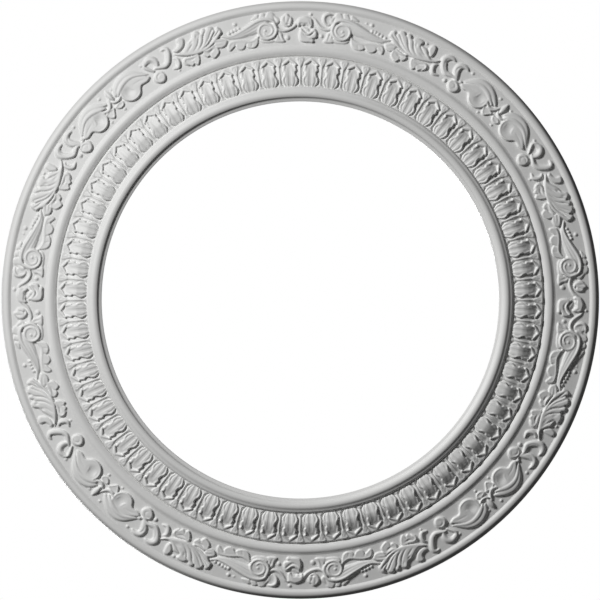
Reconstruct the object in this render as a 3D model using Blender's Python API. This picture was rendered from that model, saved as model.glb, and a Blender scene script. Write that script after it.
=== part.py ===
"""Ceiling rose: a ring cast in one piece, its flat back on z = 0 and its carved face looking down.

From the opening outwards the face has a plain bead, a band of leaves and darts, a second bead,
a frieze of acanthus scrolls and a rounded rim. All sizes are in metres; a height on the face is
its stand, the distance down from the ceiling plane.
"""
from math import cos, hypot, pi, radians, sin

import bmesh
import bpy
from mathutils import Matrix, Vector

# Widths of the bands, from the opening outwards
OPENING_RADIUS = 0.1695
OPENING_BEAD_WIDTH = 0.0131
LEAF_BAND_WIDTH = 0.0260
MIDDLE_BEAD_WIDTH = 0.0097
FRIEZE_WIDTH = 0.0283
RIM_WIDTH = 0.0084

# Stands of the face below the ceiling
OPENING_EDGE_STAND = 0.0262
OPENING_BEAD_STAND = 0.0310
LEAF_GROUND_INNER_STAND = 0.0254
LEAF_GROUND_OUTER_STAND = 0.0152
MIDDLE_BEAD_STAND = 0.0178
FRIEZE_GROUND_INNER_STAND = 0.0146
FRIEZE_GROUND_OUTER_STAND = 0.0074
RIM_STAND = 0.0088
RIM_EDGE_STAND = 0.0028

# Carving
LEAF_COUNT = 68
LEAF_RISE = 0.0022
DART_RISE = 0.0024
SCROLL_RISE = 0.0030
CARVING_ROOT = 0.0012

# The frieze repeats on each quarter as one scroll and its mirror image
QUARTERS = 4
SCROLL_AXIS_TURN = radians(0.67)
CLOCKWISE_SCROLL_SPAN = radians(46.2)

OPENING_BEAD_OUTER = OPENING_RADIUS + OPENING_BEAD_WIDTH
LEAF_BAND_OUTER = OPENING_BEAD_OUTER + LEAF_BAND_WIDTH
FRIEZE_INNER = LEAF_BAND_OUTER + MIDDLE_BEAD_WIDTH
FRIEZE_OUTER = FRIEZE_INNER + FRIEZE_WIDTH
OUTER_RADIUS = FRIEZE_OUTER + RIM_WIDTH
FRIEZE_MIDDLE = FRIEZE_INNER + FRIEZE_WIDTH / 2


def clear_scene():
    for thing in list(bpy.data.objects):
        bpy.data.objects.remove(thing, do_unlink=True)


def new_collection(name):
    collection = bpy.data.collections.new(name)
    bpy.context.scene.collection.children.link(collection)
    return collection


def clockwise(turn):
    """World direction of an angle counted clockwise from +Y, as the face is seen from below."""
    return pi / 2 + turn


def leaf_ground(radius):
    """Stand of the ground behind the leaves: level at first, then falling away in an S curve."""
    level_share = 0.30
    across = (radius - OPENING_BEAD_OUTER) / LEAF_BAND_WIDTH
    fall = min(max((across - level_share) / (1 - level_share), 0.0), 1.0)
    drop = LEAF_GROUND_INNER_STAND - LEAF_GROUND_OUTER_STAND
    return LEAF_GROUND_INNER_STAND - drop * (1 - cos(pi * fall)) / 2


def frieze_ground(radius):
    """Stand of the ground behind the scrolls: a quarter barrel falling towards the rim."""
    across = min(max((radius - FRIEZE_INNER) / FRIEZE_WIDTH, 0.0), 1.0)
    drop = FRIEZE_GROUND_INNER_STAND - FRIEZE_GROUND_OUTER_STAND
    return FRIEZE_GROUND_INNER_STAND - drop * across ** 2


def bead_points(inner, width, inner_stand, outer_stand, crest_stand, count):
    """Points across a bead from its outer foot to its inner foot, feet left out."""
    points = []
    for step in range(1, count + 1):
        turn = pi * step / (count + 1)
        across = (1 + cos(turn)) / 2
        foot = inner_stand + (outer_stand - inner_stand) * across
        points.append((inner + width * across, foot + (crest_stand - foot) * sin(turn)))
    return points


def outer_profile():
    """The plain section as (radius, stand): down the outer side, over the frieze and middle bead."""
    profile = [(OUTER_RADIUS, 0.0)]
    rim_steps = 2
    rim_half = RIM_WIDTH / 2
    rim_middle = FRIEZE_OUTER + rim_half
    for step in range(rim_steps + 1):
        turn = (pi / 2) * step / rim_steps
        stand = RIM_EDGE_STAND + (RIM_STAND - RIM_EDGE_STAND) * sin(turn)
        profile.append((rim_middle + rim_half * cos(turn), stand))
    frieze_steps = 2
    for step in range(frieze_steps + 1):
        radius = FRIEZE_OUTER - FRIEZE_WIDTH * step / frieze_steps
        profile.append((radius, frieze_ground(radius)))
    profile += bead_points(LEAF_BAND_OUTER, MIDDLE_BEAD_WIDTH, LEAF_GROUND_OUTER_STAND,
                           FRIEZE_GROUND_INNER_STAND, MIDDLE_BEAD_STAND, 2)
    profile.append((LEAF_BAND_OUTER, LEAF_GROUND_OUTER_STAND))
    return profile


def opening_profile():
    """The plain section from the leaves' feet over the opening bead and up the opening's wall."""
    profile = [(OPENING_BEAD_OUTER, LEAF_GROUND_INNER_STAND)]
    profile += bead_points(OPENING_RADIUS, OPENING_BEAD_WIDTH, OPENING_EDGE_STAND,
                           LEAF_GROUND_INNER_STAND, OPENING_BEAD_STAND, 3)
    profile.append((OPENING_RADIUS, OPENING_EDGE_STAND))
    profile.append((OPENING_RADIUS, 0.0))
    return profile


def plain_loop(mesh, radius, stand):
    """One point on each line between two leaves."""
    bay = 2 * pi / LEAF_COUNT
    loop = []
    for copy in range(LEAF_COUNT):
        turn = clockwise(bay * copy)
        loop.append(mesh.verts.new((radius * cos(turn), radius * sin(turn), -stand)))
    return loop


def leaf_loop(mesh, across, half_width, edge_rise, rib_rise, dart_rise):
    """Four points a bay: the dart's line, the leaf's near edge, its rib and its far edge."""
    bay = 2 * pi / LEAF_COUNT
    radius = OPENING_BEAD_OUTER + LEAF_BAND_WIDTH * across
    shares = ((0.0, dart_rise * DART_RISE), (0.5 - half_width, edge_rise * LEAF_RISE),
              (0.5, rib_rise * LEAF_RISE), (0.5 + half_width, edge_rise * LEAF_RISE))
    loop = []
    for copy in range(LEAF_COUNT):
        for share, rise in shares:
            turn = clockwise(bay * (copy + share))
            stand = leaf_ground(radius) + rise
            loop.append(mesh.verts.new((radius * cos(turn), radius * sin(turn), -stand)))
    return loop


def bridge(mesh, loop, following):
    """Faces between two loops, one of which may have four points to the other's one."""
    if len(loop) == len(following):
        for index in range(len(loop)):
            beside = (index + 1) % len(loop)
            mesh.faces.new((loop[index], loop[beside], following[beside], following[index]))
        return
    few, many = sorted((loop, following), key=len)
    for index in range(len(few)):
        near = few[index]
        far = few[(index + 1) % len(few)]
        fan = [many[(4 * index + step) % len(many)] for step in range(5)]
        for faces in ((near, fan[0], fan[1]), (near, fan[1], fan[2]), (near, fan[2], far),
                      (far, fan[2], fan[3]), (far, fan[3], fan[4])):
            mesh.faces.new(faces)


def leaved_ring(collection):
    """The whole ring: its plain section all round, and between the two beads the band of leaves."""
    # Share across the band, leaf's half width in bays, rise of its edge, of its rib and of the dart
    rows = ((0.97, 0.05, 0.9, 1.0, 0.3), (0.84, 0.21, 1.0, 0.8, 1.1), (0.68, 0.36, 1.0, 0.7, 0.2),
            (0.40, 0.26, 0.9, 1.1, 0.1), (0.07, 0.41, 0.6, 1.0, 0.0))
    mesh = bmesh.new()
    loops = [plain_loop(mesh, radius, stand) for radius, stand in outer_profile()]
    loops += [leaf_loop(mesh, *row) for row in rows]
    loops += [plain_loop(mesh, radius, stand) for radius, stand in opening_profile()]
    for loop, following in zip(loops, loops[1:] + loops[:1]):
        bridge(mesh, loop, following)
    return object_from("ceiling_rose", mesh, collection)


def through(points, spans):
    """A smooth line through a few chosen stations, as a Catmull-Rom curve of so many spans."""
    line = []
    last = len(points) - 1
    for step in range(spans + 1):
        place = last * step / spans
        start = min(int(place), last - 1)
        t = place - start
        p0 = points[max(start - 1, 0)]
        p1 = points[start]
        p2 = points[start + 1]
        p3 = points[min(start + 2, last)]
        line.append(tuple(
            b + t * ((c - a) / 2 + t * (a - 2.5 * b + 2 * c - d / 2 + t * (1.5 * (b - c) + (d - a) / 2)))
            for a, b, c, d in zip(p0, p1, p2, p3)))
    return line


def add_ridge(mesh, stations):
    """A closed ridge along (x, y, half width, rise) stations, its root sunk in the frieze's ground."""
    # Across the ridge, as a share of its half width: its two feet, then its crest
    corners = ((-1, False), (1, False), (0, True))
    loops = []
    last = len(stations) - 1
    for index, (x, y, half_width, rise) in enumerate(stations):
        before = stations[max(index - 1, 0)]
        after = stations[min(index + 1, last)]
        along = Vector((after[0] - before[0], after[1] - before[1])).normalized()
        loop = []
        for share, raised in corners:
            corner_x = x - along.y * half_width * share
            corner_y = y + along.x * half_width * share
            stand = frieze_ground(hypot(corner_x, corner_y)) + (rise if raised else -CARVING_ROOT)
            loop.append(mesh.verts.new((corner_x, corner_y, -stand)))
        loops.append(loop)
    for loop, following in zip(loops, loops[1:]):
        for corner in range(len(corners)):
            beside = (corner + 1) % len(corners)
            mesh.faces.new((loop[corner], loop[beside], following[beside], following[corner]))
    mesh.faces.new(loops[0])
    mesh.faces.new(loops[-1])


def add_boss(mesh, x, y, radius, rise, sides):
    """A low pointed boss, such as a berry or a blossom, standing on the frieze's ground."""
    middle = -(frieze_ground(hypot(x, y)) + (rise - CARVING_ROOT) / 2)
    # The cone's wide end is at its lower Z, so it is turned over to taper away from the ceiling
    place = Matrix.Translation((x, y, middle)) @ Matrix.Rotation(pi, 4, "X")
    bmesh.ops.create_cone(mesh, cap_ends=True, segments=sides, radius1=radius, radius2=0.0,
                          depth=rise + CARVING_ROOT, matrix=place)


def object_from(name, mesh, collection):
    """Turn a finished mesh into an object, its faces pointing out."""
    bmesh.ops.recalc_face_normals(mesh, faces=mesh.faces)
    data = bpy.data.meshes.new(name)
    mesh.to_mesh(data)
    mesh.free()
    thing = bpy.data.objects.new(name, data)
    collection.objects.link(thing)
    return thing


class ScrollHalf:
    """One scroll of the frieze, running one way from its quarter's axis to the next half axis."""

    def __init__(self, mesh, quarter, side):
        anticlockwise_span = 2 * pi / QUARTERS - CLOCKWISE_SCROLL_SPAN
        self.mesh = mesh
        self.axis = SCROLL_AXIS_TURN + 2 * pi / QUARTERS * quarter
        self.side = side
        self.span = CLOCKWISE_SCROLL_SPAN if side > 0 else anticlockwise_span

    def place(self, along, across):
        """Point at a share of the scroll's length and a share of the frieze's width."""
        radius = FRIEZE_INNER + FRIEZE_WIDTH * across
        turn = clockwise(self.axis + self.side * self.span * along)
        return radius * cos(turn), radius * sin(turn)

    def stroke(self, shape, spans):
        """A ridge through (along, across, half width, rise), widths as shares of the frieze's."""
        stations = []
        for along, across, wide, high in through(shape, spans):
            x, y = self.place(along, across)
            stations.append((x, y, wide * FRIEZE_WIDTH, high * SCROLL_RISE))
        add_ridge(self.mesh, stations)

    def volute(self, along, across, start, end, turns, spans):
        """The rolled end of a scroll: a ridge on a spiral that starts outermost, at the rim side."""
        length_in_widths = self.span * FRIEZE_MIDDLE / FRIEZE_WIDTH
        wide_start = 0.075
        wide_end = 0.050
        shape = []
        for step in range(spans + 1):
            share = step / spans
            turn = pi / 2 + 2 * pi * turns * share
            reach = start + (end - start) * share
            wide = wide_start + (wide_end - wide_start) * share
            shape.append((along + reach * cos(turn) / length_in_widths, across + reach * sin(turn), wide, 1.0))
        self.stroke(shape, spans)

    def boss(self, along, across, radius, high, sides):
        x, y = self.place(along, across)
        add_boss(self.mesh, x, y, radius * FRIEZE_WIDTH, high * SCROLL_RISE, sides)


def carve_scroll(half):
    """The carving of one half: rolled scroll with its trumpet, acanthus leaf, curls and crescent."""
    half.volute(0.177, 0.455, 0.25, 0.09, 1.15, 7)
    # Trumpet of the scroll, from its roll to its thin end
    half.stroke(((0.208, 0.60, 0.17, 0.9), (0.262, 0.55, 0.20, 1.0), (0.322, 0.45, 0.12, 0.9),
                 (0.397, 0.53, 0.02, 0.7)), 3)
    # Tendril from the flower, scalloped crest over the roll, and the leaf at its foot
    half.stroke(((0.042, 0.78, 0.05, 0.6), (0.075, 0.53, 0.07, 0.7), (0.118, 0.50, 0.06, 0.8)), 2)
    half.stroke(((0.134, 0.88, 0.09, 0.7), (0.212, 0.93, 0.08, 0.6)), 1)
    half.stroke(((0.136, 0.30, 0.11, 0.8), (0.098, 0.11, 0.05, 0.6)), 1)
    half.boss(0.094, 0.84, 0.12, 0.7, 4)
    # Wavy leaf under the trumpet, and the berry over it
    half.stroke(((0.228, 0.29, 0.04, 0.7), (0.305, 0.18, 0.14, 0.7), (0.380, 0.15, 0.05, 0.6)), 2)
    half.boss(0.296, 0.85, 0.07, 0.7, 5)

    # Acanthus leaf: its body, its tip, two fingers and an ear, and the lobes that hang under it
    half.stroke(((0.636, 0.62, 0.03, 0.7), (0.580, 0.54, 0.18, 1.0), (0.510, 0.47, 0.22, 1.0)), 2)
    half.stroke(((0.505, 0.42, 0.11, 1.0), (0.440, 0.46, 0.13, 1.0), (0.392, 0.80, 0.06, 0.8)), 2)
    for root_along, tip_along in ((0.490, 0.434), (0.505, 0.474), (0.530, 0.522)):
        half.stroke(((root_along, 0.50, 0.08, 1.0), (tip_along, 0.93, 0.10, 0.8)), 1)
    for near, far, wide in ((0.425, 0.490, 0.11), (0.530, 0.600, 0.13)):
        half.stroke(((near, 0.15, wide, 0.7), (far, 0.19, wide * 0.7, 0.6)), 1)
    half.stroke(((0.634, 0.46, 0.08, 0.6), (0.664, 0.18, 0.09, 0.6)), 1)

    # Two curled leaves and the blossom under the knot that they spring from
    for foot, top, outer in ((0.735, 0.655, 0.698), (0.768, 0.728, 0.770)):
        half.stroke(((foot, 0.38, 0.07, 0.8), (top, 0.58, 0.12, 1.0), (top + 0.012, 0.88, 0.11, 1.0),
                     (outer, 0.82, 0.05, 0.7)), 3)
    half.boss(0.750, 0.180, 0.19, 0.9, 6)

    # Crescent leaf over the curled bowl that fills the space up to the half axis
    half.stroke(((0.772, 0.42, 0.04, 0.8), (0.818, 0.68, 0.14, 1.0), (0.890, 0.80, 0.17, 1.0),
                 (0.985, 0.50, 0.07, 0.8)), 3)
    half.stroke(((0.780, 0.33, 0.03, 0.7), (0.860, 0.28, 0.12, 0.9), (0.918, 0.26, 0.14, 0.9),
                 (0.900, 0.55, 0.07, 0.8)), 3)


def carve_axis_flowers(mesh, quarter):
    """The flower on the quarter's axis and the husk on the half axis, each across its mirror line."""
    half = ScrollHalf(mesh, quarter, 1)
    half.stroke(((-0.036, 0.62, 0.10, 0.6), (0.0, 0.74, 0.17, 0.9), (0.036, 0.62, 0.10, 0.6)), 2)
    half.stroke(((-0.055, 0.34, 0.09, 0.7), (-0.030, 0.19, 0.17, 0.9), (0.030, 0.19, 0.17, 0.9),
                 (0.055, 0.34, 0.09, 0.7)), 3)
    half.stroke(((1.0, 0.52, 0.06, 0.8), (1.0, 0.72, 0.13, 1.0), (1.0, 0.93, 0.04, 0.7)), 2)
    half.stroke(((0.955, 0.22, 0.07, 0.6), (1.0, 0.14, 0.10, 0.7), (1.045, 0.22, 0.07, 0.6)), 2)


def scroll_frieze(collection):
    mesh = bmesh.new()
    for quarter in range(QUARTERS):
        for side in (1, -1):
            carve_scroll(ScrollHalf(mesh, quarter, side))
        carve_axis_flowers(mesh, quarter)
    carving = object_from("scroll_frieze", mesh, collection)
    carving.hide_render = True
    carving.display_type = "WIRE"
    return carving


def join(ring, carving):
    """Join a carving with the ring it stands on."""
    union = ring.modifiers.new("carve_" + carving.name, "BOOLEAN")
    union.operation = "UNION"
    union.solver = "EXACT"
    union.use_self = True
    union.object = carving


def primed_urethane():
    """Moulded urethane foam with a flat white factory primer."""
    material = bpy.data.materials.new("primed_urethane")
    material.use_nodes = True
    shader = material.node_tree.nodes["Principled BSDF"]
    shader.inputs["Base Color"].default_value = (0.80, 0.80, 0.79, 1.0)
    shader.inputs["Roughness"].default_value = 0.6
    shader.inputs["Metallic"].default_value = 0.0
    return material


clear_scene()
rose_collection = new_collection("ceiling_rose")
carving_collection = new_collection("carving_to_join")
rose = leaved_ring(rose_collection)
rose.data.materials.append(primed_urethane())
join(rose, scroll_frieze(carving_collection))
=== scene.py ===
"""Looks of the ceiling rose: a ring-shaped rose of moulded urethane, carved side down."""
from math import cos, pi, radians, sin

import bpy
import numpy as np
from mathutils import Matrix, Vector


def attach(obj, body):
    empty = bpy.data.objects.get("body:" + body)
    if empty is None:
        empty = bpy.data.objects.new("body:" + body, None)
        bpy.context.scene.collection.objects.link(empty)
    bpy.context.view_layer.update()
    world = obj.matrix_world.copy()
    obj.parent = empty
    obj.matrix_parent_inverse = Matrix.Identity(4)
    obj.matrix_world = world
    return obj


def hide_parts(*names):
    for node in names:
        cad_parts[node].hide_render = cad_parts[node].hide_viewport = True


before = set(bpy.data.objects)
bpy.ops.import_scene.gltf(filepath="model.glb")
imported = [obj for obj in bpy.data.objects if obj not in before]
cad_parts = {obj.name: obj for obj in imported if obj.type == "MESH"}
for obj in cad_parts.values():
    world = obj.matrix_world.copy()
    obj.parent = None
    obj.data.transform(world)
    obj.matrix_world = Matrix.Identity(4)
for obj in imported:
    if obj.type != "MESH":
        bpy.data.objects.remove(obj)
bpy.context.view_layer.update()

# The ring: one casting of dense urethane foam, poured against a flat plate, so its back is flat.
# Its plain parts are the rounded bead at the opening, the bead between the two carved bands and
# the rim. It is bonded to the ceiling, and what shows of it is the maker's flat white primer.
OPENING_RADIUS = 169.5
OPENING_EDGE_STAND = 25.9
OUTER_RADIUS = 255.0
OUTER_EDGE_STAND = 2.2
LEAF_BAYS = 68
BODY_COLUMNS_IN_A_BAY = 8
GROUND_BEHIND_CARVING = 1.6


def clockwise(turn):
    """World direction of an angle counted clockwise from +Y, as the carved face is seen."""
    return pi / 2 + turn


def smooth_line(stations, spans):
    """A Catmull-Rom curve through stations, as an array with so many spans between each two."""
    points = np.asarray(stations, float)
    padded = np.vstack([2 * points[0] - points[1], points, 2 * points[-1] - points[-2]])
    pieces = []
    for start in range(len(points) - 1):
        p0, p1, p2, p3 = padded[start:start + 4]
        t = np.linspace(0, 1, spans, endpoint=False)[:, None]
        pieces.append(p1 + 0.5 * t * (p2 - p0 + t * (2 * p0 - 5 * p1 + 4 * p2 - p3
                                                     + t * (3 * p1 - p0 - 3 * p2 + p3))))
    return np.vstack(pieces + [points[-1:]])


def leaf_ground(radius):
    """Stand in millimetres of the ground behind the leaves at a radius in millimetres."""
    return np.interp(radius, *smooth_line(
        ((180.0, 24.8), (184.0, 24.9), (187.0, 24.9), (190.3, 24.7), (192.0, 24.35), (193.7, 23.7),
         (195.4, 22.9), (197.1, 22.0), (198.8, 21.3), (200.5, 20.75), (202.3, 20.3), (204.0, 19.75),
         (205.7, 19.2), (207.2, 18.75), (207.9, 16.6), (209.0, 15.2), (210.5, 15.0)), 8).T)


FRIEZE_GROUND_INNER = 218.2
FRIEZE_GROUND_WIDTH = 28.3
FRIEZE_GROUND_INNER_STAND = 15.5
FRIEZE_GROUND_FALL = 7.5


def frieze_ground(radius):
    """Stand in millimetres of the ground behind the scrolls, which slopes towards the ceiling outwards."""
    from_inner = np.asarray(radius, float) - FRIEZE_GROUND_INNER
    return FRIEZE_GROUND_INNER_STAND - FRIEZE_GROUND_FALL * from_inner / FRIEZE_GROUND_WIDTH


def closed_bay(name, turns, radii, stands, underside):
    """A stretch of the ring as a shell that is open only at its two ends, in metres.

    Rows run outwards and columns clockwise. Its face looks down, its underside is at one stand."""
    rows, columns = stands.shape
    face = np.stack([radii * np.cos(clockwise(turns)), radii * np.sin(clockwise(turns)), -stands], axis=2)
    edges = face[[0, -1]].copy()
    edges[:, :, 2] = -underside
    points = np.vstack([face.reshape(-1, 3), edges.reshape(-1, 3)]) / 1000
    index = np.arange(rows * columns).reshape(rows, columns)
    inner_edge, outer_edge = rows * columns + np.arange(2 * columns).reshape(2, columns)
    faces = np.stack([index[:-1, :-1], index[:-1, 1:], index[1:, 1:], index[1:, :-1]], axis=2)
    under = np.stack([inner_edge[:-1], outer_edge[:-1], outer_edge[1:], inner_edge[1:]], axis=1)
    inner_wall = np.stack([index[0, :-1], inner_edge[:-1], inner_edge[1:], index[0, 1:]], axis=1)
    outer_wall = np.stack([index[-1, :-1], index[-1, 1:], outer_edge[1:], outer_edge[:-1]], axis=1)
    data = bpy.data.meshes.new(name)
    every_face = np.vstack([faces.reshape(-1, 4), under, inner_wall, outer_wall])
    data.from_pydata(points.tolist(), [], every_face.tolist())
    bay = bpy.data.objects.new(name, data)
    bpy.context.scene.collection.objects.link(bay)
    return bay


def add_node(tree, kind, settings=None, **inputs):
    """Adds a node to a tree, with its settings, and its inputs set to values or linked to sockets.

    An input is given by its name, with _ for a space, or by its number, as no_1."""
    node = tree.nodes.new(kind)
    for name, value in (settings or {}).items():
        setattr(node, name, value)
    for name, value in inputs.items():
        place = int(name[3:]) if name.startswith("no_") else name.replace("_", " ")
        socket = node.inputs[place]
        if isinstance(value, bpy.types.NodeSocket):
            tree.links.new(value, socket)
        else:
            socket.default_value = value
    return node


def ring_of_bays_tree():
    """Geometry Nodes that set copies of a bay round the ring, weld them and give them their finish."""
    tree = bpy.data.node_groups.new("ring_of_bays", "GeometryNodeTree")
    sockets = tree.interface
    sockets.new_socket("Bay", in_out="INPUT", socket_type="NodeSocketGeometry")
    sockets.new_socket("Bays", in_out="INPUT", socket_type="NodeSocketInt")
    sockets.new_socket("Weld Distance", in_out="INPUT", socket_type="NodeSocketFloat")
    sockets.new_socket("Finish", in_out="INPUT", socket_type="NodeSocketMaterial")
    sockets.new_socket("Ring", in_out="OUTPUT", socket_type="NodeSocketGeometry")
    given = tree.nodes.new("NodeGroupInput")
    points = add_node(tree, "GeometryNodePoints", Count=given.outputs["Bays"])
    number = add_node(tree, "GeometryNodeInputIndex")
    step = add_node(tree, "ShaderNodeMath", {"operation": "DIVIDE"}, no_0=2 * pi,
                    no_1=given.outputs["Bays"])
    turn = add_node(tree, "ShaderNodeMath", {"operation": "MULTIPLY"}, no_0=number.outputs[0],
                    no_1=step.outputs[0])
    rotation = add_node(tree, "ShaderNodeCombineXYZ", Z=turn.outputs[0])
    copies = add_node(tree, "GeometryNodeInstanceOnPoints", Points=points.outputs[0],
                      Instance=given.outputs["Bay"], Rotation=rotation.outputs[0])
    real = add_node(tree, "GeometryNodeRealizeInstances", Geometry=copies.outputs[0])
    welded = add_node(tree, "GeometryNodeMergeByDistance", Geometry=real.outputs[0],
                      Distance=given.outputs["Weld Distance"])
    smooth = add_node(tree, "GeometryNodeSetShadeSmooth", Geometry=welded.outputs[0])
    finished = add_node(tree, "GeometryNodeSetMaterial", Geometry=smooth.outputs[0],
                        Material=given.outputs["Finish"])
    result = tree.nodes.new("NodeGroupOutput")
    tree.links.new(finished.outputs[0], result.inputs[0])
    return tree


def linear(hex_colour):
    """Linear colour of an sRGB hex value."""
    shares = [int(hex_colour[place:place + 2], 16) / 255 for place in (1, 3, 5)]
    return tuple(s / 12.92 if s <= 0.04045 else ((s + 0.055) / 1.055) ** 2.4 for s in shares) + (1.0,)


def factory_primer():
    """Flat white primer sprayed over moulded urethane foam: even, matt, with a faint orange peel."""
    material = bpy.data.materials.new("primed_moulded_urethane")
    material.use_nodes = True
    tree = material.node_tree
    paint = tree.nodes["Principled BSDF"]
    paint.inputs["Metallic"].default_value = 0.0
    paint.inputs["IOR"].default_value = 1.47
    place = add_node(tree, "ShaderNodeTexCoord")
    where = place.outputs["Object"]
    cloud = add_node(tree, "ShaderNodeTexNoise", Vector=where, Scale=1 / 0.060, Detail=3.0)
    tone = add_node(tree, "ShaderNodeMix", {"data_type": "RGBA"}, Factor=cloud.outputs["Fac"],
                    no_6=linear("#E2E2E1"), no_7=linear("#E8E8E7"))
    tree.links.new(tone.outputs[2], paint.inputs["Base Color"])
    roughness = add_node(tree, "ShaderNodeMapRange", Value=cloud.outputs["Fac"], To_Min=0.52, To_Max=0.62)
    tree.links.new(roughness.outputs[0], paint.inputs["Roughness"])
    peel = add_node(tree, "ShaderNodeTexNoise", Vector=where, Scale=1 / 0.0022, Detail=2.0)
    grain = add_node(tree, "ShaderNodeTexNoise", Vector=where, Scale=1 / 0.0006, Detail=1.0)
    broad = add_node(tree, "ShaderNodeBump", Height=peel.outputs["Fac"], Strength=1.0, Distance=0.00003)
    fine = add_node(tree, "ShaderNodeBump", Height=grain.outputs["Fac"], Strength=1.0, Distance=0.00001,
                    Normal=broad.outputs["Normal"])
    tree.links.new(fine.outputs["Normal"], paint.inputs["Normal"])
    return material


WELD_DISTANCE_IN_METRES = 0.00001
primer = factory_primer()
bays_round_the_ring = ring_of_bays_tree()


def set_round_the_ring(bay, bays, piece_name):
    """Runs the tree on a bay and returns the whole ring as a plain mesh piece."""
    ring = bay.modifiers.new("ring_of_bays", "NODES")
    ring.node_group = bays_round_the_ring
    values = {"Bays": bays, "Weld Distance": WELD_DISTANCE_IN_METRES, "Finish": primer}
    for socket in bays_round_the_ring.interface.items_tree:
        if socket.in_out == "INPUT" and socket.name in values:
            ring[socket.identifier] = values[socket.name]
    bpy.context.view_layer.update()
    evaluated = bay.evaluated_get(bpy.context.evaluated_depsgraph_get())
    data = bpy.data.meshes.new_from_object(evaluated)
    bay.modifiers.remove(ring)
    bpy.data.objects.remove(bay, do_unlink=True)
    data.name = piece_name
    piece = bpy.data.objects.new(piece_name, data)
    bpy.context.scene.collection.objects.link(piece)
    return piece


def plain_section():
    """The ring's section as (radius, stand) in millimetres, from the opening's wall to the outer side."""
    opening_bead = smooth_line(
        ((169.7, 28.3), (170.6, 28.55), (171.7, 28.8), (172.6, 29.3), (173.4, 30.3), (174.5, 30.8),
         (175.8, 31.0), (177.2, 30.8), (178.2, 30.3), (179.1, 29.5), (180.0, 28.9), (180.9, 28.4),
         (181.6, 27.4), (182.3, 26.0)), 3)
    behind_leaves = [(radius, leaf_ground(radius) - GROUND_BEHIND_CARVING)
                     for radius in np.linspace(183.2, 207.4, 10)]
    middle_bead = smooth_line(
        ((207.9, 15.6), (208.4, 17.0), (209.0, 17.7), (210.0, 18.05), (211.2, 18.4), (212.5, 18.5),
         (213.8, 18.35), (214.9, 17.95), (215.7, 17.35), (216.4, 16.65), (217.1, 16.1), (217.8, 15.65),
         (218.5, 14.8)), 3)
    behind_scrolls = [(radius, frieze_ground(radius) - GROUND_BEHIND_CARVING)
                      for radius in np.linspace(219.2, 245.6, 8)]
    rim = smooth_line(
        ((246.2, 7.1), (246.7, 7.85), (247.5, 8.1), (248.4, 8.4), (249.3, 8.6), (250.2, 8.55),
         (251.2, 8.3), (252.2, 7.8), (253.1, 6.9), (253.9, 5.5), (254.5, 4.0), (254.85, 2.9)), 3)
    return np.vstack([[(OPENING_RADIUS, OPENING_EDGE_STAND)], opening_bead, behind_leaves, middle_bead,
                      behind_scrolls, rim, [(OUTER_RADIUS, OUTER_EDGE_STAND)]])


section = plain_section()
bay_turns = np.linspace(0, 2 * pi / LEAF_BAYS, BODY_COLUMNS_IN_A_BAY + 1)
turns, radii = np.meshgrid(bay_turns, section[:, 0])
stands = np.repeat(section[:, 1:], BODY_COLUMNS_IN_A_BAY + 1, axis=1)
body_bay = closed_bay("rose_body_bay", turns, radii, stands, 0.0)
rose_body = set_round_the_ring(body_bay, LEAF_BAYS, "rose_body")
rose_body.data.set_sharp_from_angle(angle=radians(50))
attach(rose_body, "root")
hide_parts("ceiling_rose")

# The band of leaves: water leaves with darts between them, pressed by the same mould between the two
# beads. Each leaf has a turned-up lip round its tip, a fold down its middle and hollowed corners at
# its foot.
LEAF_BAND_INNER = 181.6
LEAF_BAND_OUTER = 209.4
LEAF_GRID_ROWS = 45
LEAF_GRID_COLUMNS = 31
DEPTH_SUNK_IN_THE_BODY = 3.0


def rounded_step(distance, width):
    """0 outside an outline, a quarter round over so many millimetres inside it, then 1."""
    inside = np.clip(distance / width, 0, 1)
    return np.sqrt(1 - (1 - inside) ** 2)


def eased_step(distance, width):
    """A soft S from 0 to 1 over so many millimetres, centred on the line."""
    share = np.clip(distance / width + 0.5, 0, 1)
    return share * share * (3 - 2 * share)


def swell(offset, half_width):
    """A soft ridge: 1 on its line, 0 from its half width on."""
    return 0.5 + 0.5 * np.cos(pi * np.clip(np.abs(offset) / half_width, 0, 1))


def inside_leaf(aside, radius):
    """Distance in millimetres inside a leaf's wavy outline, from a distance to its middle line."""
    outline = smooth_line(((181.4, 3.6), (182.6, 4.4), (184.0, 5.3), (185.8, 6.3), (188.0, 6.9),
                           (189.8, 6.4), (191.4, 5.4), (192.9, 4.9), (194.3, 5.0), (195.6, 5.8),
                           (197.2, 6.0), (198.7, 5.5), (199.9, 5.8), (200.8, 6.7), (201.8, 6.2),
                           (203.1, 4.8), (204.4, 3.3), (205.5, 1.9), (206.3, 0.8), (206.7, 0.0)), 4)
    half_width = np.interp(radius, outline[:, 0], outline[:, 1], right=-2)
    flare = np.interp(radius, outline[:, 0], np.gradient(outline[:, 1], outline[:, 0]))
    return (half_width - aside) / np.sqrt(1 + flare ** 2)


def leaf_rise(inside, aside, radius):
    """Rise of a leaf in millimetres: its floor, its lip, the fold down its middle and its tucked foot."""
    floor = np.interp(radius, (195.0, 197.1, 198.8, 200.5, 201.7, 203.0, 206.7),
                      (1.9, 1.65, 1.0, 0.0, -0.65, -0.75, -0.4))
    lip_top = np.interp(radius, (188.0, 193.0, 200.8, 203.0, 206.7), (1.9, 2.2, 1.9, 1.15, 0.6))
    lip_width = np.interp(radius, (199.5, 202.5), (1.7, 2.3))
    lip = (lip_top - floor) * eased_step(lip_width - inside, 1.3)
    fold = 0.4 * eased_step(1.35 - aside, 0.8) * eased_step(198.5 - radius, 3.0)
    crease_at = np.interp(radius, (182.5, 186.5, 191.0), (2.9, 4.6, 4.2))
    crease = 0.6 * swell(aside - crease_at, 1.0) * eased_step(190.2 - radius, 2.6)
    tucked = 0.7 * eased_step(183.2 - radius, 4.0)
    return (floor + lip - fold - crease - tucked) * rounded_step(inside, 0.75)


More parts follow.
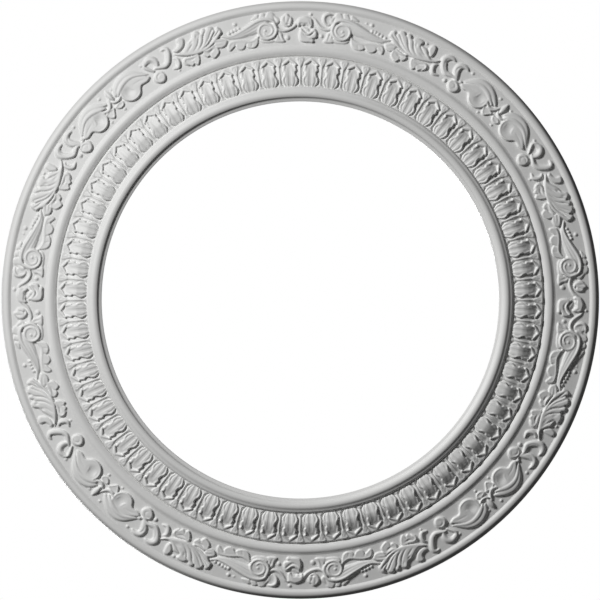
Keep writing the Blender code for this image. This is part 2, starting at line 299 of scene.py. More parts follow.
def dart_rise(aside, radius):
    """Rise of a dart in millimetres: a bud with a drop outlined in it, a stem and the stem's foot."""
    bud_outline = smooth_line(((197.7, 0.0), (199.0, 0.9), (200.6, 1.6), (202.4, 2.15), (204.2, 2.8),
                               (205.6, 3.5), (206.6, 3.2), (207.2, 1.9), (207.6, 0.0)), 4)
    bud_half = np.interp(radius, bud_outline[:, 0], bud_outline[:, 1], left=-2, right=-2)
    bud_top = np.interp(radius, (198.0, 201.0, 204.0, 207.0), (1.6, 1.3, 0.9, 0.8))
    bud = bud_top * rounded_step(bud_half - aside, 1.2)
    drop_half = np.interp(radius, (200.6, 202.4, 204.0, 205.2, 205.9), (0.0, 0.75, 1.2, 1.1, 0.0),
                          left=-2, right=-2)
    drop_line = 0.5 * swell(drop_half - aside, 0.5) * (drop_half > -1) * (bud > 0.5)
    stem = 1.35 * swell(aside, 1.15) * eased_step(radius - 183.0, 1.0) * eased_step(200.0 - radius, 3.0)
    foot_half = np.interp(radius, (182.2, 183.4, 185.2), (4.0, 2.2, 0.5), left=4.0, right=-2)
    foot = 1.3 * rounded_step(foot_half - aside, 0.9) * (radius < 186)
    return np.maximum(np.maximum(bud - drop_line, stem), foot)


def leaf_bay_rise(from_leaf, from_dart, radius):
    """Rise in millimetres above the ground, from the distances to the middle lines of leaf and dart.

    A shallow trench runs round the leaf, and two notches are cut into each of its sides."""
    inside = inside_leaf(from_leaf, radius)
    dart = dart_rise(from_dart, radius)
    trench = 0.4 * swell(inside + 0.4, 0.9)
    trench = trench * eased_step(204.5 - radius, 3.0) * eased_step(radius - 183.5, 2.0)
    outer_notch = 1.0 * np.exp(-((radius - 200.1) / 0.6) ** 2)
    inner_notch = 0.8 * np.exp(-((radius - 194.4) / 0.7) ** 2)
    notches = (outer_notch + inner_notch) * np.exp(-((from_leaf - 5.0) / 0.8) ** 2)
    leaf = leaf_rise(inside, from_leaf, radius)
    return np.where(inside > 0, leaf, dart) - notches - trench * (dart < 0.4)


bay_turns = np.linspace(0, 2 * pi / LEAF_BAYS, LEAF_GRID_COLUMNS)
turns, radii = np.meshgrid(bay_turns, np.linspace(LEAF_BAND_INNER, LEAF_BAND_OUTER, LEAF_GRID_ROWS))
middle_turn = pi / LEAF_BAYS
from_dart = np.minimum(turns, 2 * pi / LEAF_BAYS - turns) * radii
from_leaf = np.abs((turns - middle_turn) * radii)
stands = leaf_ground(radii) + leaf_bay_rise(from_leaf, from_dart, radii)
underside = leaf_ground(LEAF_BAND_OUTER) - DEPTH_SUNK_IN_THE_BODY
leaf_bay = closed_bay("leaf_band_bay", turns, radii, stands, underside)
leaf_band = set_round_the_ring(leaf_bay, LEAF_BAYS, "leaf_band")
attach(leaf_band, "root")
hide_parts("ceiling_rose")

# The frieze: acanthus scrolls in low relief on a sloping ground, cast with the ring. Each quarter is a
# scroll and its mirror image, carved alike but not the same, which meet in a flower on the axis and in
# a husk between two axes.
QUARTERS = 4
FRIEZE_INNER = 217.3
FRIEZE_OUTER = 247.3
SCROLL_AXIS_TURN = radians(0.67)
CLOCKWISE_DEGREES = 46.2
ANTICLOCKWISE_DEGREES = 43.8
FRIEZE_GRID_ROWS = 48
FRIEZE_GRID_COLUMNS = 500
FINER_DRAWING = 3

# One quarter is drawn flat, on a sheet whose unit is about 0.108 mm. x runs clockwise, with the axis at
# DRAWN_AXIS and the end of the clockwise scroll DRAWN_HALF further. y runs from the rim inwards. Rises
# are drawn a little high, and DRAWN_RISE_SCALE takes them down.
DRAWN_UNIT = 0.108
DRAWN_AXIS = 24.5
DRAWN_HALF = 1702.0
DRAWN_QUARTER = DRAWN_HALF * 90 / CLOCKWISE_DEGREES
DRAWN_LEFT = DRAWN_AXIS + DRAWN_HALF - DRAWN_QUARTER
DRAWN_INNER_EDGE = 292
DRAWN_WIDTH = 265
DRAWN_RISE_SCALE = 0.87
MIRRORED_SCALE = ANTICLOCKWISE_DEGREES / CLOCKWISE_DEGREES


def drawn_height(radius):
    """Place across the frieze on the sheet: 292 at its inner edge, 27 at the rim."""
    return DRAWN_INNER_EDGE - DRAWN_WIDTH * (radius - FRIEZE_GROUND_INNER) / FRIEZE_GROUND_WIDTH


class Relief:
    """Relief over one quarter of the frieze, as rises in millimetres on a grid of the flat drawing.

    A form drawn while mirrored is True lands in the anticlockwise half. It is moved along it first, by
    shifts: a row of places along the sheet, and how far a form at each is moved."""

    def __init__(self, columns, rows):
        self.x_line = np.linspace(DRAWN_LEFT, DRAWN_LEFT + DRAWN_QUARTER, columns)
        self.y_line = np.linspace(drawn_height(FRIEZE_INNER), drawn_height(FRIEZE_OUTER), rows)
        self.x, self.y = np.meshgrid(self.x_line, self.y_line)
        self.rise = np.zeros_like(self.x)
        self.mirrored = False
        self.shifts = (0, 0), (0, 0)

    def places(self, stations, reach):
        """Each place a form lands, as its line and the part of the grid it can touch."""
        line = np.array(stations, float)
        if self.mirrored:
            along = line[:, 0] + np.interp(line[:, 0], *self.shifts)
            line[:, 0] = DRAWN_AXIS - (along - DRAWN_AXIS) * MIRRORED_SCALE
        for shift in (0, DRAWN_QUARTER, -DRAWN_QUARTER):
            moved = line.copy()
            moved[:, 0] += shift
            across = np.abs(self.x_line - np.clip(self.x_line, moved[:, 0].min(), moved[:, 0].max()))
            down = np.abs(self.y_line - np.clip(self.y_line, moved[:, 1].min(), moved[:, 1].max()))
            columns = np.flatnonzero(across <= reach)
            rows = np.flatnonzero(down <= reach)
            if len(columns) and len(rows):
                yield moved, (slice(rows[0], rows[-1] + 1), slice(columns[0], columns[-1] + 1))

    def raise_to(self, where, height):
        """Takes the higher of old and new, with a small fillet where they meet."""
        fillet = 0.15
        old = self.rise[where]
        near = np.clip(fillet - np.abs(old - height), 0, None) / fillet
        self.rise[where] = np.where(height > 0, np.maximum(old, height) + near * near * fillet / 4, old)

    def lower_by(self, where, cut):
        """Cuts into what is drawn so far, but never into the ground."""
        self.rise[where] = np.maximum(self.rise[where] - cut, 0)

    def along_line(self, stations, spans):
        """For each landing of a band: its part of the grid, share of the way to its edge, rise and side."""
        smooth = smooth_line(stations, spans)
        for line, where in self.places(smooth, smooth[:, 2].max()):
            x, y = self.x[where], self.y[where]
            share, rise, side = np.full(x.shape, 9.0), np.zeros(x.shape), np.ones(x.shape)
            for (x0, y0, half0, rise0), (x1, y1, half1, rise1) in zip(line[:-1], line[1:]):
                run, fall = x1 - x0, y1 - y0
                t = np.clip(((x - x0) * run + (y - y0) * fall) / (run * run + fall * fall + 1e-9), 0, 1)
                away = np.hypot(x - x0 - t * run, y - y0 - t * fall) / (half0 + (half1 - half0) * t)
                rise = np.where(away < share, rise0 + (rise1 - rise0) * t, rise)
                side = np.where(away < share, np.sign(run * (y - y0) - fall * (x - x0)), side)
                share = np.minimum(away, share)
            yield where, np.clip(share, 0, 1), rise, side * (-1 if self.mirrored else 1)

    def band(self, *stations, spans=6, lean=0.0):
        """A round-topped band through stations of x, y, half width and rise.

        lean is the share by which its right side, as it runs, is lower."""
        for where, share, rise, side in self.along_line(stations, spans):
            self.raise_to(where, rise * np.sqrt(1 - share ** 3) * (1 - lean * (0.5 + 0.5 * side * share)))

    def groove(self, *stations):
        """A soft cut through stations of x, y, half width and depth."""
        for where, share, depth, _ in self.along_line(stations, 6):
            self.lower_by(where, depth * swell(share, 1.0))

    def leaf(self, rise, edge, hollow, *outline):
        """A filled outline with a quarter round edge so many mm wide, hollowed by so many mm inside it."""
        smooth = smooth_line(outline + outline[:1], 4)
        for line, where in self.places(smooth, 2):
            x, y = self.x[where], self.y[where]
            nearest, within = np.full(x.shape, 1e9), np.zeros(x.shape, bool)
            for (x0, y0), (x1, y1) in zip(line[:-1], line[1:]):
                run, fall = x1 - x0, y1 - y0
                t = np.clip(((x - x0) * run + (y - y0) * fall) / (run * run + fall * fall + 1e-9), 0, 1)
                nearest = np.minimum(nearest, np.hypot(x - x0 - t * run, y - y0 - t * fall))
                within ^= ((y0 > y) != (y1 > y)) & (x < x0 + (y - y0) * run / (fall or 1e-9))
            inside = np.where(within, nearest, -nearest) * DRAWN_UNIT
            height = rise * rounded_step(inside, edge) - hollow * np.clip(inside / edge - 0.8, 0, 1)
            self.raise_to(where, np.where(within, height, 0))

    def spot(self, x, y, half_x, half_y, turn):
        """For each landing of an oval: its part of the grid and the share of the way to its edge."""
        for line, where in self.places([(x, y)], max(half_x, half_y)):
            across = (self.x[where] - line[0, 0]) * (-1 if self.mirrored else 1)
            down = self.y[where] - line[0, 1]
            along = across * cos(radians(turn)) + down * sin(radians(turn))
            aside = down * cos(radians(turn)) - across * sin(radians(turn))
            yield where, np.clip(np.hypot(along / half_x, aside / half_y), 0, 1)

    def berry(self, x, y, half_x, half_y, rise):
        """A small oval dome."""
        for where, share in self.spot(x, y, half_x, half_y, 0):
            self.raise_to(where, rise * np.sqrt(1 - share ** 2))

    def hollow(self, x, y, half_x, half_y, depth, turn=0):
        """A small oval hollow."""
        for where, share in self.spot(x, y, half_x, half_y, turn):
            self.lower_by(where, depth * swell(share, 1.0))

    def softened(self, passes):
        """The relief after so many light blurs, because a casting has no knife-sharp corners."""
        soft = self.rise
        for _ in range(passes):
            wide = np.hstack([soft[:, -2:-1], soft, soft[:, 1:2]])
            soft = (wide[:, :-2] + 2 * soft + wide[:, 2:]) / 4
            tall = np.vstack([soft[:1], soft, soft[-1:]])
            soft = (tall[:-2] + 2 * soft + tall[2:]) / 4
        return soft


def crest_and_foot_leaves(relief):
    """The leaves that show round the volute: a scalloped crest over it, one beside it and one under it."""
    relief.leaf(1.6, 0.6, 0.0, (240, 126), (222, 98), (230, 78), (254, 56), (262, 34), (278, 21),
                (300, 20), (312, 33), (331, 22), (352, 24), (363, 37), (384, 27), (405, 37), (440, 62),
                (400, 66), (340, 62), (297, 70), (268, 96))
    relief.groove((304, 30, 5, 0.4), (318, 44, 9, 1.3), (322, 62, 6, 0.6))
    relief.groove((358, 32, 5, 0.4), (370, 46, 9, 1.3), (374, 64, 6, 0.6))
    relief.groove((270, 46, 5, 0.2), (258, 75, 8, 1.1), (250, 112, 6, 0.6))
    relief.leaf(1.8, 0.6, 0.0, (250, 148), (229, 182), (210, 201), (209, 226), (194, 252), (184, 264),
                (206, 272), (240, 270), (268, 262), (262, 240), (250, 205), (248, 175))
    relief.groove((246, 180, 5, 0.4), (234, 215, 9, 1.0), (222, 256, 6, 0.3))
    relief.leaf(1.3, 0.6, 0.0, (258, 230), (262, 258), (290, 265), (330, 264), (368, 257), (392, 238),
                (380, 215), (300, 215))


def trumpet_and_volute(relief):
    """The trumpet, the coiled volute that it grows from, and the ridge along both on the rim's side."""
    relief.band((330, 104, 34, 2.9), (398, 122, 50, 3.3), (455, 138, 46, 3.3), (506, 150, 38, 3.1),
                (550, 160, 33, 2.8), (600, 166, 25, 2.5), (650, 165, 17, 2.2), (705, 140, 7, 1.8),
                lean=0.35)
    relief.groove((378, 116, 6, 0.2), (405, 130, 9, 0.5), (455, 148, 9, 0.5), (510, 162, 8, 0.4),
                  (575, 171, 6, 0.3), (640, 166, 5, 0.2))
    relief.groove((400, 152, 6, 0.2), (440, 165, 8, 0.4), (490, 176, 7, 0.4), (560, 183, 5, 0.2))
    disc = [(322 + 76 * cos(turn), 170 + 68 * sin(turn)) for turn in np.arange(0, 6.2, 0.4)]
    relief.leaf(2.4, 0.7, 0.0, *disc)
    turns = np.arange(0.12, 1.63, 0.125)
    radii = np.interp(turns, (0, 0.25, 0.5, 0.75, 1, 1.25, 1.5, 1.65), (98, 77, 64, 66, 56, 49, 37, 27))
    halves = np.interp(turns, (0, 0.5, 1, 1.65), (13, 11, 10, 7))
    coil = [(325 - out * sin(2 * pi * turn), 170 - out * cos(2 * pi * turn), half, 3.4)
            for turn, out, half in zip(turns, radii, halves)]
    relief.band(*coil, spans=2)
    relief.berry(331, 166, 16, 15, 3.5)
    relief.band((250, 142, 9, 2.4), (262, 108, 12, 3.1), (292, 83, 14, 3.5), (340, 76, 15, 3.7),
                (398, 86, 15, 3.8), (455, 107, 14, 3.7), (506, 126, 12, 3.4), (550, 140, 10, 3.1),
                (600, 153, 8, 2.7), (650, 158, 6, 2.4), (700, 140, 5, 2.0))


def scalloped_leaf(relief):
    """The leaf under the trumpet, with its three lobes towards the opening and a rolled edge above them."""
    relief.leaf(1.9, 0.7, 0.3, (392, 188), (415, 206), (440, 220), (484, 229), (535, 214), (597, 204),
                (654, 201), (674, 212), (684, 240), (680, 268), (664, 266), (648, 254), (629, 246),
                (612, 270), (585, 284), (552, 278), (535, 262), (510, 281), (465, 289), (425, 272),
                (404, 228))
    relief.band((396, 196, 5, 1.5), (425, 218, 7, 1.9), (468, 233, 8, 2.0), (510, 229, 8, 2.0),
                (560, 216, 8, 2.0), (610, 208, 8, 2.0), (650, 209, 8, 2.0), (671, 230, 8, 1.9),
                (676, 256, 6, 1.6))
    relief.groove((535, 266, 9, 1.6), (518, 242, 7, 0.6))
    relief.groove((629, 252, 9, 1.6), (620, 228, 7, 0.6))
    relief.groove((468, 250, 7, 0.5), (480, 274, 7, 0.5))


def sheath_and_leaflets(relief):
    """The sheath where the great leaf springs, the two leaflets under that leaf, and the bud after them."""
    relief.leaf(2.1, 0.7, 0.0, (672, 186), (690, 166), (719, 152), (758, 146), (764, 185), (748, 216),
                (723, 226), (692, 217))
    relief.band((682, 188, 6, 1.8), (712, 168, 9, 2.6), (752, 158, 9, 2.6))
    relief.band((694, 208, 7, 1.8), (722, 192, 10, 2.5), (756, 184, 9, 2.5))
    relief.leaf(2.4, 0.7, 0.5, (747, 216), (747, 251), (772, 275), (803, 286), (828, 258), (850, 260),
                (874, 232), (866, 208), (834, 200), (790, 196), (760, 196))
    relief.groove((828, 266, 8, 1.4), (822, 240, 6, 0.5))
    relief.groove((782, 216, 6, 0.3), (808, 227, 10, 1.3), (838, 231, 6, 0.4))
    relief.band((766, 186, 6, 2.2), (802, 203, 9, 2.8), (836, 209, 9, 2.8), (868, 200, 6, 2.2))
    relief.leaf(2.4, 0.7, 0.5, (907, 212), (919, 257), (948, 289), (973, 270), (998, 279), (1024, 252),
                (1050, 234), (1056, 206), (1020, 196), (960, 205), (925, 204))
    relief.groove((973, 278, 8, 1.4), (970, 250, 6, 0.5))
    relief.groove((948, 226, 6, 0.3), (985, 229, 10, 1.3), (1018, 216, 6, 0.4))
    relief.band((1020, 204, 6, 2.2), (1044, 214, 10, 2.8), (1045, 236, 9, 2.6), (1024, 262, 5, 1.8))
    relief.band((1112, 158, 6, 1.8), (1094, 176, 14, 2.5), (1097, 208, 17, 2.7), (1118, 235, 15, 2.5),
                (1158, 231, 6, 1.6))


def pod_and_crescent(relief):
    """The open pod, a bowl with a folded leaf in its mouth, and the double crescent that arches over it."""
    relief.leaf(2.4, 0.7, 0.0, (1350, 178), (1385, 150), (1440, 118), (1500, 102), (1560, 106),
                (1596, 132), (1608, 170), (1602, 215), (1574, 248), (1542, 265), (1505, 265),
                (1473, 251), (1452, 222), (1428, 202), (1385, 207), (1352, 192))
    relief.hollow(1540, 184, 66, 62, 1.4)
    relief.band((1452, 214, 6, 2.2), (1480, 245, 9, 2.8), (1520, 256, 9, 2.9), (1560, 248, 9, 2.9),
                (1590, 218, 9, 2.9), (1599, 178, 9, 2.9), (1590, 140, 8, 2.8))
    relief.band((1562, 118, 5, 1.8), (1578, 150, 6, 2.2), (1574, 192, 6, 2.2), (1556, 220, 5, 1.8))
    relief.leaf(2.5, 0.7, 0.3, (1356, 182), (1388, 156), (1420, 144), (1438, 124), (1462, 122),
                (1478, 132), (1496, 126), (1520, 138), (1516, 164), (1500, 194), (1450, 192),
                (1400, 199), (1366, 196))
    relief.groove((1392, 178, 4, 0.3), (1430, 164, 6, 0.5), (1476, 158, 5, 0.3))
    relief.band((1352, 160, 4, 1.4), (1392, 121, 11, 2.0), (1436, 84, 18, 2.4), (1476, 66, 22, 2.6),
                (1511, 62, 24, 2.6), (1550, 68, 25, 2.6), (1592, 88, 24, 2.6), (1632, 114, 19, 2.4),
                (1660, 134, 10, 2.1))
    relief.band((1366, 154, 5, 1.8), (1400, 129, 10, 2.6), (1440, 105, 16, 3.1), (1480, 94, 20, 3.3),
                (1520, 96, 22, 3.4), (1560, 108, 22, 3.4), (1600, 130, 16, 3.2), (1636, 150, 9, 2.5))


def scroll_in_both_halves(relief):
    """The forms that the clockwise and the anticlockwise scroll share."""
    crest_and_foot_leaves(relief)
    trumpet_and_volute(relief)
    scalloped_leaf(relief)
    sheath_and_leaflets(relief)
    pod_and_crescent(relief)


def finger_grooves(relief):
    """The grooves that part the fingers of the great leaf."""
    relief.groove((700, 84, 6, 0.6), (726, 106, 9, 1.5), (757, 126, 10, 1.6), (800, 161, 9, 1.3),
                  (850, 181, 5, 0.4))
    relief.groove((724, 66, 6, 0.8), (734, 84, 9, 1.6), (762, 111, 10, 1.7), (792, 143, 10, 1.6),
                  (830, 170, 8, 1.2), (875, 184, 6, 0.6))
    relief.groove((745, 52, 6, 0.8), (770, 84, 9, 1.2), (806, 127, 8, 1.1), (846, 158, 5, 0.4))
    relief.groove((803, 52, 6, 0.9), (830, 84, 10, 1.7), (846, 120, 10, 1.7), (869, 152, 9, 1.4),
                  (905, 178, 5, 0.5))


def clockwise_tendril_and_beads(relief):
    """The clockwise scroll's tendril with the hooked leaf that it carries, and its row of beads."""
    relief.band((92, 80, 6, 1.4), (112, 94, 9, 1.8), (130, 121, 11, 2.0), (156, 150, 12, 2.1),
                (189, 166, 12, 2.1), (221, 163, 11, 2.1), (241, 143, 10, 2.1), (258, 112, 8, 2.0))
    relief.leaf(1.5, 0.6, 0.5, (196, 60), (225, 52), (240, 75), (236, 110), (220, 135), (196, 128),
                (186, 95))
    relief.band((200, 126, 8, 1.6), (184, 104, 12, 2.4), (178, 78, 13, 2.8), (186, 54, 14, 2.8),
                (208, 42, 12, 2.5), (236, 42, 5, 1.4))
    relief.berry(170, 220, 15, 17, 1.5)
    relief.berry(540, 66, 14, 15, 1.5)
    relief.berry(497, 63, 9, 9, 0.9)
    for x, y in ((553, 113), (578, 114), (603, 120), (632, 128), (662, 135)):
        relief.berry(x, y, 13, 14, 1.7)


def clockwise_great_leaf(relief):
    """The clockwise scroll's great leaf, with the fold at its shoulder and the small leaf behind it."""
    relief.leaf(2.9, 1.1, 0.0, (684, 113), (688, 84), (700, 62), (716, 54), (730, 64), (738, 74),
                (744, 52), (760, 38), (782, 33), (797, 44), (804, 56), (812, 40), (828, 34), (845, 42),
                (854, 62), (868, 58), (884, 45), (915, 40), (946, 50), (942, 72), (952, 84), (991, 90),
                (1012, 118), (1054, 146), (1098, 128), (1126, 110), (1098, 148), (1054, 172),
                (998, 190), (947, 202), (897, 203), (834, 194), (778, 178), (728, 153), (709, 128))
    finger_grooves(relief)
    relief.groove((858, 60, 6, 0.8), (876, 84, 9, 1.5), (890, 120, 10, 1.6), (916, 152, 8, 1.1),
                  (945, 172, 5, 0.4))
    relief.hollow(903, 100, 13, 32, 0.9, -20)
    relief.groove((940, 66, 5, 0.6), (938, 92, 9, 1.5), (958, 112, 9, 1.5), (984, 132, 8, 1.2),
                  (1022, 154, 5, 0.5))
    relief.hollow(980, 150, 44, 18, 0.7, 14)
    relief.berry(968, 52, 12, 11, 1.5)
    relief.leaf(2.5, 0.9, 0.0, (1002, 62), (1012, 40), (1034, 34), (1050, 48), (1054, 88), (1050, 122),
                (1034, 132), (1014, 112), (1000, 84))


def clockwise_hooks_and_blossom(relief):
    """The clockwise scroll's two hooked leaves and the round blossom under them."""
    relief.band((1214, 58, 8, 1.8), (1190, 52, 15, 2.3), (1160, 64, 23, 2.6), (1143, 92, 26, 2.8),
                (1152, 124, 24, 2.8), (1172, 156, 22, 2.8), (1200, 180, 22, 2.7), (1230, 178, 18, 2.6),
                (1264, 172, 13, 2.4), (1300, 184, 9, 2.0), (1340, 184, 6, 1.8))
    relief.groove((1186, 58, 5, 0.3), (1160, 82, 9, 0.9), (1160, 118, 9, 0.9), (1180, 158, 8, 0.7),
                  (1222, 182, 5, 0.3))
    relief.band((1334, 62, 8, 1.8), (1318, 55, 13, 2.2), (1296, 54, 18, 2.5), (1270, 68, 23, 2.7),
                (1262, 95, 26, 2.8), (1266, 122, 26, 2.8), (1280, 148, 22, 2.6), (1300, 176, 12, 2.1))
    relief.groove((1300, 62, 5, 0.3), (1276, 76, 8, 0.8), (1262, 104, 8, 0.9), (1266, 138, 6, 0.4))
    relief.berry(1340, 172, 17, 14, 2.3)
    relief.berry(1228, 234, 16, 17, 1.9)
    relief.leaf(2.8, 1.1, 0.0, (1268, 200), (1300, 188), (1335, 198), (1362, 226), (1357, 258),
                (1332, 280), (1300, 282), (1272, 262), (1258, 232))
    relief.groove((1272, 226, 6, 0.4), (1290, 210, 9, 0.8), (1316, 214, 9, 0.8), (1328, 236, 8, 0.6),
                  (1312, 252, 6, 0.3))
    relief.berry(1375, 58, 12, 12, 1.4)


def anticlockwise_tendril_and_beads(relief):
    """The anticlockwise scroll's tendril with its notched leaf, and its row of beads."""
    relief.band((48, 82, 6, 1.4), (66, 104, 9, 1.8), (84, 128, 11, 2.0), (108, 153, 12, 2.1),
                (150, 173, 12, 2.1), (198, 178, 12, 2.1), (236, 160, 10, 2.1), (252, 130, 8, 2.0))
    relief.leaf(2.4, 0.7, 0.0, (112, 92), (118, 75), (137, 66), (143, 53), (159, 44), (178, 57),
                (200, 76), (204, 105), (188, 135), (160, 150), (130, 140), (116, 118))
    relief.groove((134, 78, 6, 0.7), (142, 100, 7, 1.1), (152, 122, 6, 0.5))
    relief.groove((164, 58, 6, 0.7), (172, 82, 7, 1.0), (170, 110, 5, 0.4))
    relief.hollow(150, 130, 22, 13, 1.5, -10)
    relief.berry(158, 235, 19, 20, 1.6)
    relief.berry(570, 72, 14, 15, 1.5)
    for x, y in ((548, 115), (575, 118), (603, 124), (632, 132)):
        relief.berry(x, y, 13, 14, 1.7)


def anticlockwise_great_leaf(relief):
    """The anticlockwise scroll's great leaf, with its hollowed shoulder and the small leaf behind it."""
    relief.leaf(2.9, 1.1, 0.0, (684, 108), (688, 84), (700, 62), (716, 54), (730, 64), (738, 72),
                (744, 52), (760, 38), (782, 33), (797, 44), (802, 54), (810, 40), (826, 34), (840, 44),
                (850, 62), (862, 44), (884, 30), (908, 40), (926, 74), (958, 88), (988, 107),
                (1014, 127), (1045, 142), (1084, 134), (1112, 126), (1084, 152), (1040, 178),
                (990, 196), (940, 207), (892, 209), (840, 202), (784, 180), (732, 148), (706, 126))
    finger_grooves(relief)
    relief.groove((862, 60, 6, 0.6), (874, 92, 9, 1.3), (890, 124, 9, 1.3), (920, 156, 8, 1.0),
                  (950, 174, 5, 0.4))
    relief.hollow(886, 74, 12, 26, 0.9, -16)
    relief.hollow(942, 100, 26, 12, 1.2, 32)
    relief.groove((930, 110, 5, 0.4), (960, 134, 8, 1.0), (998, 158, 6, 0.5))
    relief.leaf(2.4, 0.7, 0.0, (988, 60), (994, 40), (1020, 30), (1042, 36), (1046, 72), (1070, 92),
                (1100, 98), (1090, 124), (1050, 122), (1010, 100))


def anticlockwise_hooks_and_blossom(relief):
    """The anticlockwise scroll's two hooked leaves, the bent stem beside them and the blossom."""
    relief.band((1180, 54, 8, 1.8), (1160, 52, 13, 2.3), (1142, 68, 17, 2.6), (1146, 98, 20, 2.8),
                (1160, 128, 20, 2.8), (1182, 160, 20, 2.8), (1216, 176, 18, 2.7), (1256, 166, 14, 2.5),
                (1300, 152, 8, 2.0))
    relief.band((1352, 84, 13, 1.9), (1328, 70, 20, 2.4), (1300, 68, 24, 2.7), (1276, 88, 24, 2.8),
                (1268, 118, 20, 2.7), (1276, 150, 13, 2.1))
    relief.groove((1340, 82, 5, 0.3), (1308, 80, 9, 0.9), (1284, 104, 8, 0.8), (1278, 136, 5, 0.3))
    relief.band((1352, 68, 9, 2.2), (1366, 98, 11, 2.6), (1348, 130, 11, 2.6), (1320, 166, 8, 2.0))
    relief.leaf(2.8, 1.1, 0.0, (1262, 200), (1294, 188), (1328, 194), (1354, 222), (1350, 254),
                (1322, 276), (1288, 280), (1262, 264), (1250, 232))
    relief.groove((1266, 224, 6, 0.4), (1286, 208, 9, 0.8), (1312, 214, 9, 0.8), (1322, 236, 8, 0.6),
                  (1300, 252, 6, 0.3))
    relief.berry(1126, 262, 10, 10, 1.3)
    relief.berry(1380, 72, 12, 12, 1.4)


def flower_on_the_axis(relief):
    """The flower that both scrolls spring from: its upper petals, its lower leaf and the stem between."""
    relief.berry(78, 50, 13, 13, 1.4)
    relief.leaf(2.9, 1.3, 0.0, (-24, 112), (-18, 92), (4, 78), (34, 68), (62, 74), (88, 86), (94, 118),
                (92, 150), (78, 158), (64, 142), (40, 136), (20, 142), (2, 138), (-12, 152), (-24, 138))
    relief.groove((-14, 140, 5, 0.3), (0, 127, 9, 1.3), (32, 129, 9, 1.4), (58, 128, 8, 1.3),
                  (72, 146, 5, 0.5))
    relief.groove((68, 92, 5, 0.3), (80, 120, 7, 1.0), (80, 146, 5, 0.5))
    relief.leaf(2.7, 0.8, 0.0, (8, 166), (24, 188), (44, 206), (70, 206), (92, 184), (110, 165),
                (128, 182), (134, 208), (128, 236), (106, 246), (112, 262), (100, 278), (75, 275),
                (50, 276), (20, 273), (0, 262), (-10, 230), (-8, 196))
    relief.groove((14, 186, 5, 0.4), (32, 214, 9, 1.0), (62, 226, 11, 1.4), (92, 208, 12, 1.6),
                  (116, 186, 6, 0.6))
    relief.band((4, 168, 6, 2.2), (24, 194, 9, 3.0), (48, 209, 10, 3.2), (76, 204, 10, 3.2),
                (110, 170, 6, 2.6))
    relief.groove((106, 246, 8, 1.4), (80, 250, 6, 0.5))
    relief.band((18, 156, 8, 0.9), (52, 178, 15, 1.3), (66, 190, 8, 1.1))


def husk_between_two_axes(relief):
    """The husk where two quarters meet: an upright bud, two curled leaves and two lobes under them."""
    relief.band((1727, 56, 4, 1.6), (1727, 82, 15, 2.9), (1727, 108, 20, 3.3), (1727, 134, 15, 2.9),
                (1727, 158, 4, 1.8))
    relief.band((1596, 140, 5, 1.8), (1606, 164, 10, 2.6), (1636, 182, 13, 2.9), (1668, 174, 13, 2.7),
                (1688, 150, 10, 2.6), (1702, 120, 5, 1.8))
    relief.band((1704, 148, 5, 1.8), (1728, 170, 11, 2.8), (1760, 176, 11, 2.8), (1796, 158, 6, 2.0))
    relief.leaf(2.4, 0.7, 0.9, (1600, 196), (1604, 220), (1624, 251), (1649, 256), (1676, 222),
                (1694, 200), (1660, 188), (1625, 188))
    relief.leaf(2.3, 0.7, 0.9, (1700, 200), (1712, 226), (1735, 240), (1765, 236), (1780, 208),
                (1745, 192))
    for x, y, half in ((1598, 268, 10), (1655, 66, 12), (1750, 264, 11), (1773, 75, 11)):
        relief.berry(x, y, half, half, 1.3)


relief = Relief((FRIEZE_GRID_COLUMNS - 1) * FINER_DRAWING + 1, (FRIEZE_GRID_ROWS - 1) * FINER_DRAWING + 1)
relief.shifts = ((0, 220, 330, 480, 640, 700, 760, 880, 1000, 1200, 1300, 1360, 1500, 1600, 1727),
                 (0, -8, 8, -8, -20, -8, 8, 14, 12, 4, 4, 26, 42, 50, 0))
flower_on_the_axis(relief)
husk_between_two_axes(relief)
scroll_in_both_halves(relief)
clockwise_tendril_and_beads(relief)
clockwise_great_leaf(relief)
clockwise_hooks_and_blossom(relief)
relief.mirrored = True
scroll_in_both_halves(relief)
relief.shifts = (0, 0), (0, 0)
anticlockwise_tendril_and_beads(relief)
anticlockwise_great_leaf(relief)
anticlockwise_hooks_and_blossom(relief)
rises = relief.softened(1)[::FINER_DRAWING, ::FINER_DRAWING]
first_turn = SCROLL_AXIS_TURN + radians(CLOCKWISE_DEGREES) - 2 * pi / QUARTERS
quarter_turns = first_turn + np.linspace(0, 2 * pi / QUARTERS, FRIEZE_GRID_COLUMNS)
turns, radii = np.meshgrid(quarter_turns, np.linspace(FRIEZE_INNER, FRIEZE_OUTER, FRIEZE_GRID_ROWS))
stands = frieze_ground(radii) + DRAWN_RISE_SCALE * rises
underside = frieze_ground(FRIEZE_OUTER) - DEPTH_SUNK_IN_THE_BODY
frieze_quarter = closed_bay("scroll_frieze_quarter", turns, radii, stands, underside)
scroll_frieze = set_round_the_ring(frieze_quarter, QUARTERS, "scroll_frieze")
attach(scroll_frieze, "root")
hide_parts("ceiling_rose")

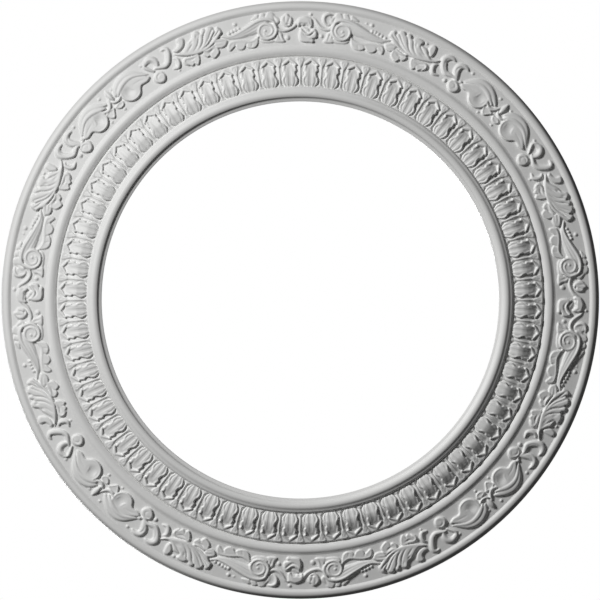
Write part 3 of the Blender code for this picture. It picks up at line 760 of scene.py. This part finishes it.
# The studio: the rose is seen square on from below, without perspective, against plain white. One lamp
# lights its face from the upper left of the picture, and a softer one its back. A pale floor lies far
# below it.
PICTURE_WIDTH_IN_PIXELS = 600
MILLIMETRES_IN_A_PIXEL = 0.8534
camera_data = bpy.data.cameras.new("camera")
camera_data.type = "ORTHO"
camera_data.ortho_scale = PICTURE_WIDTH_IN_PIXELS * MILLIMETRES_IN_A_PIXEL / 1000
camera = bpy.data.objects.new("camera", camera_data)
camera.location = (0.0002, 0.0, -1.5)
camera.rotation_euler = (0, pi, 0)
bpy.context.scene.collection.objects.link(camera)
bpy.context.scene.camera = camera


def add_sun(name, towards, strength, spread):
    """Adds a sun lamp that stands in the given direction, with its strength and its width in degrees."""
    lamp = bpy.data.lights.new(name, "SUN")
    lamp.energy = strength
    lamp.angle = radians(spread)
    sun = bpy.data.objects.new(name, lamp)
    sun.rotation_mode = "QUATERNION"
    sun.rotation_quaternion = Vector(towards).to_track_quat("Z", "Y")
    bpy.context.scene.collection.objects.link(sun)


KEY_TURN = radians(304)
KEY_HEIGHT = radians(40)
KEY_STRENGTH = 2.95
KEY_SPREAD = 10
key_direction = (-sin(KEY_TURN) * cos(KEY_HEIGHT), cos(KEY_TURN) * cos(KEY_HEIGHT), -sin(KEY_HEIGHT))
add_sun("key_lamp", key_direction, KEY_STRENGTH, KEY_SPREAD)
add_sun("lamp_over_the_back", (0.35, -0.25, 1.0), 2.6, 20)

world = bpy.data.worlds.new("white_room")
bpy.context.scene.world = world
world.use_nodes = True
room = world.node_tree
for node in list(room.nodes):
    room.nodes.remove(node)
path = add_node(room, "ShaderNodeLightPath")
seen = add_node(room, "ShaderNodeBackground", Color=(1, 1, 1, 1), Strength=1.0)
glow = add_node(room, "ShaderNodeBackground", Color=(1, 1, 1, 1), Strength=0.055)
either = add_node(room, "ShaderNodeMixShader", no_0=path.outputs["Is Camera Ray"], no_1=glow.outputs[0],
                  no_2=seen.outputs[0])
end = room.nodes.new("ShaderNodeOutputWorld")
room.links.new(either.outputs[0], end.inputs["Surface"])

bpy.ops.mesh.primitive_plane_add(size=12, location=(0, 0, -2.4))
floor = bpy.context.object
floor.name = "floor"
floor_paint = bpy.data.materials.new("pale_floor")
floor_paint.use_nodes = True
floor_paint.node_tree.nodes["Principled BSDF"].inputs["Base Color"].default_value = linear("#F2F2F0")
floor.data.materials.append(floor_paint)
floor.visible_shadow = False
floor.visible_diffuse = False

# The view is the plain one, with its middle tones held down a little, so that white relief shows.
bpy.context.scene.view_settings.view_transform = "Standard"
bpy.context.scene.view_settings.gamma = 0.85
